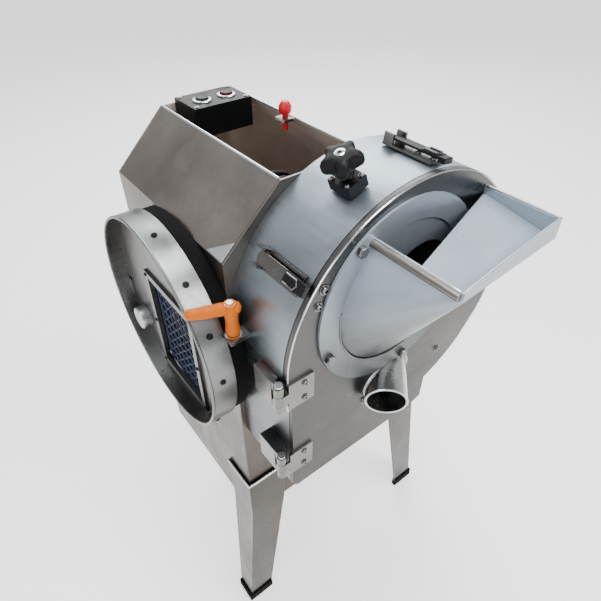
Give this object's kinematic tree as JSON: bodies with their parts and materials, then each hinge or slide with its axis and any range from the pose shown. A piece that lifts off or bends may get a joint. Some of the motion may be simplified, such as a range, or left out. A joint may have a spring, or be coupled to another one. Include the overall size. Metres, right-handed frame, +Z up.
{
  "type": "french fry cutter",
  "caption": "Free-standing potato strip cutter: sheet steel cabinet on legs, round front chamber with hinged door, feed hopper, drain pipe and a round hinged side cover.",
  "frame": {"origin": "middle of the bounding box, on the floor under the foot pads", "axes": "+Z up, +Y from the front door to the rear panel, +X to the right seen from the front"},
  "size_m": [0.5108, 0.5164, 0.9905],
  "materials": {
    "stainless": "brushed",
    "bright_stainless": "polished",
    "knife_steel": "ground",
    "cast_aluminium": "cast",
    "motor_paint": "satin",
    "dark_steel": "satin",
    "bronze": "machined",
    "black_plastic": "gloss",
    "black_rubber": "matte",
    "orange_plastic": "satin",
    "red_plastic": "gloss",
    "green_plastic": "gloss"
  },
  "bodies": {
    "frame": {"left_side_panel": "stainless", "right_side_panel": "stainless", "rear_panel": "stainless", "front_bulkhead": "stainless", "cable_gland": "black_plastic", "motor_shelf": "stainless", "leg_front_left": "stainless", "leg_front_right": "stainless", "leg_rear_left": "stainless", "leg_rear_right": "stainless", "foot_pad_front_left": "black_rubber", "foot_pad_front_right": "black_rubber", "foot_pad_rear_left": "black_rubber", "foot_pad_rear_right": "black_rubber", "chamber_housing": "bright_stainless", "slicing_ring": "stainless", "slicing_knife": "knife_steel", "bearing_housing": "cast_aluminium", "stripper_comb": "stainless", "cutter_bearing": "bronze", "motor_body": "motor_paint", "main_belt": "black_rubber", "cutter_belt": "black_rubber", "door_hinge_fixed_upper": "bright_stainless", "door_hinge_fixed_lower": "bright_stainless", "door_hinge_pin_upper": "bright_stainless", "door_hinge_pin_lower": "bright_stainless", "latch_base_left": "bright_stainless", "latch_base_top": "bright_stainless", "knob_block": "black_plastic", "cover_seal_ring": "black_rubber", "cover_hinge_bracket": "bright_stainless", "cover_hinge_pin": "bright_stainless", "clamp_bracket": "bright_stainless", "switch_box": "black_plastic"},
    "door": {"front_door": "bright_stainless", "feed_hopper": "bright_stainless", "hopper_bolt_upper": "bright_stainless", "hopper_bolt_left": "bright_stainless", "hopper_bolt_lower": "bright_stainless", "hopper_bolt_right": "bright_stainless", "drain_pipe": "bright_stainless", "door_hinge_moving_upper": "bright_stainless", "door_hinge_moving_lower": "bright_stainless"},
    "cover": {"round_cover": "bright_stainless", "vent_grid": "dark_steel"},
    "latch_left": {"latch_lever_left": "dark_steel"},
    "latch_top": {"latch_lever_top": "dark_steel"},
    "knob": {"star_knob": "black_plastic"},
    "gate": {"thickness_gate": "stainless"},
    "clamp": {"clamp_lever": "orange_plastic"},
    "rotor": {"impeller": "cast_aluminium", "main_shaft": "bright_stainless", "drive_pulley": "cast_aluminium"},
    "strip_cutter": {"strip_knife_roller": "knife_steel", "cutter_pulley": "cast_aluminium"},
    "motor_rotor": {"motor_pulley": "cast_aluminium"},
    "start": {"start_button": "green_plastic"},
    "stop": {"stop_button": "red_plastic"},
    "emergency": {"emergency_button": "red_plastic"}
  },
  "joints": [
    {"name": "door_hinge", "type": "hinge", "parent": "frame", "child": "door", "pos_m": [-0.20392, -0.14525, 0.69], "axis": [0, 0, -1], "range_deg": [0, 100]},
    {"name": "cover_hinge", "type": "hinge", "parent": "frame", "child": "cover", "pos_m": [-0.20992, 0.25075, 0.695], "axis": [0, 0, -1], "range_deg": [0, 110]},
    {"name": "latch_left_pivot", "type": "hinge", "parent": "frame", "child": "latch_left", "pos_m": [-0.17156, -0.07325, 0.88398], "axis": [-0.5736, 0, -0.8191], "range_deg": [0, 60]},
    {"name": "latch_top_pivot", "type": "hinge", "parent": "frame", "child": "latch_top", "pos_m": [0.01052, -0.07325, 0.96315], "axis": [-0.9903, 0, 0.1392], "range_deg": [0, 60]},
    {"name": "knob_turn", "type": "hinge", "parent": "frame", "child": "knob", "pos_m": [-0.08759, -0.10225, 0.96172], "axis": [-0.3584, 0, 0.9336], "range_deg": [0, 722]},
    {"name": "gate_slide", "type": "slide", "parent": "frame", "child": "gate", "axis": [-0.3584, 0, 0.9336], "range_m": [0, 0.006]},
    {"name": "clamp_turn", "type": "hinge", "parent": "frame", "child": "clamp", "pos_m": [-0.20992, -0.07025, 0.825], "axis": [0, 0, 1], "range_deg": [0, 75]},
    {"name": "rotor_spin", "type": "hinge", "parent": "frame", "child": "rotor", "pos_m": [-0.01592, 0, 0.775], "axis": [0, 1, 0], "continuous": true},
    {"name": "cutter_spin", "type": "hinge", "parent": "frame", "child": "strip_cutter", "pos_m": [-0.08592, 0, 0.588], "axis": [0, 1, 0], "continuous": true},
    {"name": "motor_spin", "type": "hinge", "parent": "frame", "child": "motor_rotor", "pos_m": [0.06408, 0, 0.478], "axis": [0, 1, 0], "continuous": true},
    {"name": "start_press", "type": "slide", "parent": "frame", "child": "start", "axis": [0, 0, -1], "range_m": [0, 0.003], "stiffness_N_per_m": 400, "springref_m": -0.002},
    {"name": "stop_press", "type": "slide", "parent": "frame", "child": "stop", "axis": [0, 0, -1], "range_m": [0, 0.003], "stiffness_N_per_m": 400, "springref_m": -0.002},
    {"name": "emergency_press", "type": "slide", "parent": "frame", "child": "emergency", "axis": [0, 0, -1], "range_m": [0, 0.003], "stiffness_N_per_m": 400, "springref_m": -0.002}
  ],
  "couplings": [
    {"joint": "knob_turn", "follows": "gate_slide", "rad_per_m": 2094.4},
    {"joint": "cutter_spin", "follows": "rotor_spin", "ratio": 1},
    {"joint": "motor_spin", "follows": "rotor_spin", "ratio": 2.0667}
  ]
}
